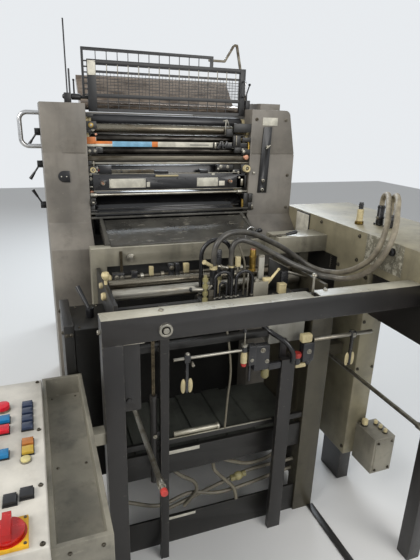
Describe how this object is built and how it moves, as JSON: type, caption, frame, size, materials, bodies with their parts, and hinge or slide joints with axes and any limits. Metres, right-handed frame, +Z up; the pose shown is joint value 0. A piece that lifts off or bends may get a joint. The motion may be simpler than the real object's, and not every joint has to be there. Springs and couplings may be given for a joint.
{
  "type": "sheet-fed offset printing press",
  "caption": "Sheet-fed offset press: printing unit with ink rollers and a lifting mesh guard, pile feeder with lift table and suction hoses, side cabinet, console and rear delivery.",
  "frame": {"origin": "on the floor under the centre of the printing unit", "axes": "+Z up, +Y from the feeder towards the delivery, +X towards the side cabinet"},
  "size_m": [2.035, 3.045, 1.9885],
  "materials": {
    "cover_grey": "satin paint, worn at the edges",
    "frame_dark": "dark satin paint",
    "cast_dark": "oily dark casting",
    "guard_black": "black powder coat",
    "bright_chrome": "polished",
    "roller_rubber": "satin rubber with ink film",
    "roller_steel": "ground steel with a brown film",
    "strip_white": "printed colour blocks",
    "tie_steel": "ground bars",
    "dampener_dark": "dark enamel",
    "cylinder_black": "glossy black",
    "apron_steel": "worn sheet steel",
    "knob_black": "moulded",
    "plate_black": "small fitted plates",
    "cap_red": "soft caps",
    "chain_steel": "oiled chain",
    "guide_steel": "bright rods and dark clamps",
    "table_dark": "scuffed dark paint",
    "pipe_rubber": "black rubber",
    "feed_steel": "ground steel",
    "hose_grey": "ribbed grey hose",
    "fitting_cream": "moulded fittings",
    "box_grey": "cast terminal box",
    "console_grey": "pale grey paint",
    "button_plastic": "lit buttons of several colours",
    "switch_red": "red knob"
  },
  "bodies": {
    "root": {"left_housing": "cover_grey", "right_housing": "cover_grey", "bed_panel": "cast_dark", "back_cover": "cover_grey", "ink_duct": "cast_dark", "roller_brackets": "frame_dark", "signal_rod": "guard_black", "bent_rail": "bright_chrome", "scale_strip": "strip_white", "unit_ties": "tie_steel", "dampener": "dampener_dark", "dampener_handle": "tie_steel", "feed_apron": "apron_steel", "side_handle": "bright_chrome", "housing_plates": "plate_black", "rear_portal": "cover_grey", "front_beam": "frame_dark", "front_post_left": "frame_dark", "cabinet_legs": "frame_dark", "side_wall_left": "cast_dark", "side_wall_right": "cast_dark", "cross_plates": "frame_dark", "pile_guides": "frame_dark", "carrier_rods": "bright_chrome", "rod_caps": "cap_red", "lift_chains": "chain_steel", "guide_rods": "guide_steel", "suction_head": "frame_dark", "suction_valves": "guide_steel", "formed_pipes": "pipe_rubber", "hose_upper": "hose_grey", "hose_lower": "hose_grey", "side_cabinet": "cover_grey", "cabinet_fittings": "fitting_cream", "junction_box": "box_grey", "console": "console_grey", "console_buttons": "button_plastic", "tool_tray": "cover_grey", "feeder_drive": "frame_dark", "floor_rail": "frame_dark", "delivery_sides": "cover_grey", "delivery_beams": "frame_dark", "delivery_table": "table_dark"},
    "guard": {"guard_frame": "guard_black", "guard_mesh": "guard_black", "guard_handle": "bright_chrome"},
    "ink_top": {"ink_roller_top": "roller_rubber"},
    "ink_steel": {"ink_roller_steel": "roller_steel"},
    "ink_third": {"ink_roller_third": "roller_steel"},
    "ink_low": {"ink_roller_low": "roller_steel"},
    "plate": {"plate_cylinder": "cylinder_black"},
    "lever_a": {"lever_upper": "knob_black"},
    "lever_b": {"lever_middle": "knob_black"},
    "lever_c": {"lever_lower": "knob_black"},
    "pile": {"pile_table": "table_dark"},
    "feed_front": {"feed_roller_front": "feed_steel"},
    "feed_back": {"feed_roller_back": "feed_steel"},
    "switch_knob": {"main_switch": "switch_red"},
    "clamp": {"clamp_lever": "knob_black"}
  },
  "joints": [
    {"name": "guard_lift", "type": "hinge", "parent": "root", "child": "guard", "pos_m": [0, -0.34, 1.69], "axis": [-1, 0, 0], "range_deg": [0, 50]},
    {"name": "press_drive", "type": "hinge", "parent": "root", "child": "plate", "pos_m": [0, -0.32, 1.18], "axis": [1, 0, 0], "continuous": true},
    {"name": "ink_top_spin", "type": "hinge", "parent": "root", "child": "ink_top", "pos_m": [0, -0.345, 1.6], "axis": [1, 0, 0], "continuous": true},
    {"name": "ink_steel_spin", "type": "hinge", "parent": "root", "child": "ink_steel", "pos_m": [0, -0.408, 1.567], "axis": [1, 0, 0], "continuous": true},
    {"name": "ink_third_spin", "type": "hinge", "parent": "root", "child": "ink_third", "pos_m": [0, -0.402, 1.525], "axis": [1, 0, 0], "continuous": true},
    {"name": "ink_low_spin", "type": "hinge", "parent": "root", "child": "ink_low", "pos_m": [0, -0.4, 1.473], "axis": [1, 0, 0], "continuous": true},
    {"name": "lever_upper_turn", "type": "hinge", "parent": "root", "child": "lever_a", "pos_m": [-0.56, -0.22, 1.54], "axis": [1, 0, 0], "range_deg": [-25, 25]},
    {"name": "lever_middle_turn", "type": "hinge", "parent": "root", "child": "lever_b", "pos_m": [-0.56, -0.22, 1.398], "axis": [1, 0, 0], "range_deg": [-25, 25]},
    {"name": "lever_lower_turn", "type": "hinge", "parent": "root", "child": "lever_c", "pos_m": [-0.56, -0.22, 1.21], "axis": [1, 0, 0], "range_deg": [-25, 25]},
    {"name": "pile_lift", "type": "slide", "parent": "root", "child": "pile", "axis": [0, 0, 1], "range_m": [0, 0.38]},
    {"name": "feed_drive", "type": "hinge", "parent": "root", "child": "feed_front", "pos_m": [0, -0.93, 0.99], "axis": [1, 0, 0], "continuous": true},
    {"name": "feed_back_spin", "type": "hinge", "parent": "root", "child": "feed_back", "pos_m": [0, -0.855, 1.006], "axis": [1, 0, 0], "continuous": true},
    {"name": "switch_turn", "type": "hinge", "parent": "root", "child": "switch_knob", "pos_m": [-0.716, -1.747, 0.81], "axis": [0, 0, 1], "range_deg": [0, 90]},
    {"name": "clamp_turn", "type": "hinge", "parent": "root", "child": "clamp", "pos_m": [-0.455, -0.95, 0.925], "axis": [0, 0, 1], "range_deg": [-30, 30]}
  ],
  "couplings": [
    {"joint": "ink_low_spin", "follows": "press_drive", "ratio": -5.7778},
    {"joint": "ink_third_spin", "follows": "press_drive", "ratio": 6.1176},
    {"joint": "ink_steel_spin", "follows": "press_drive", "ratio": -5.4737},
    {"joint": "ink_top_spin", "follows": "press_drive", "ratio": 4.16},
    {"joint": "feed_drive", "follows": "press_drive", "ratio": 4.7273},
    {"joint": "feed_back_spin", "follows": "press_drive", "ratio": 5.7778}
  ]
}
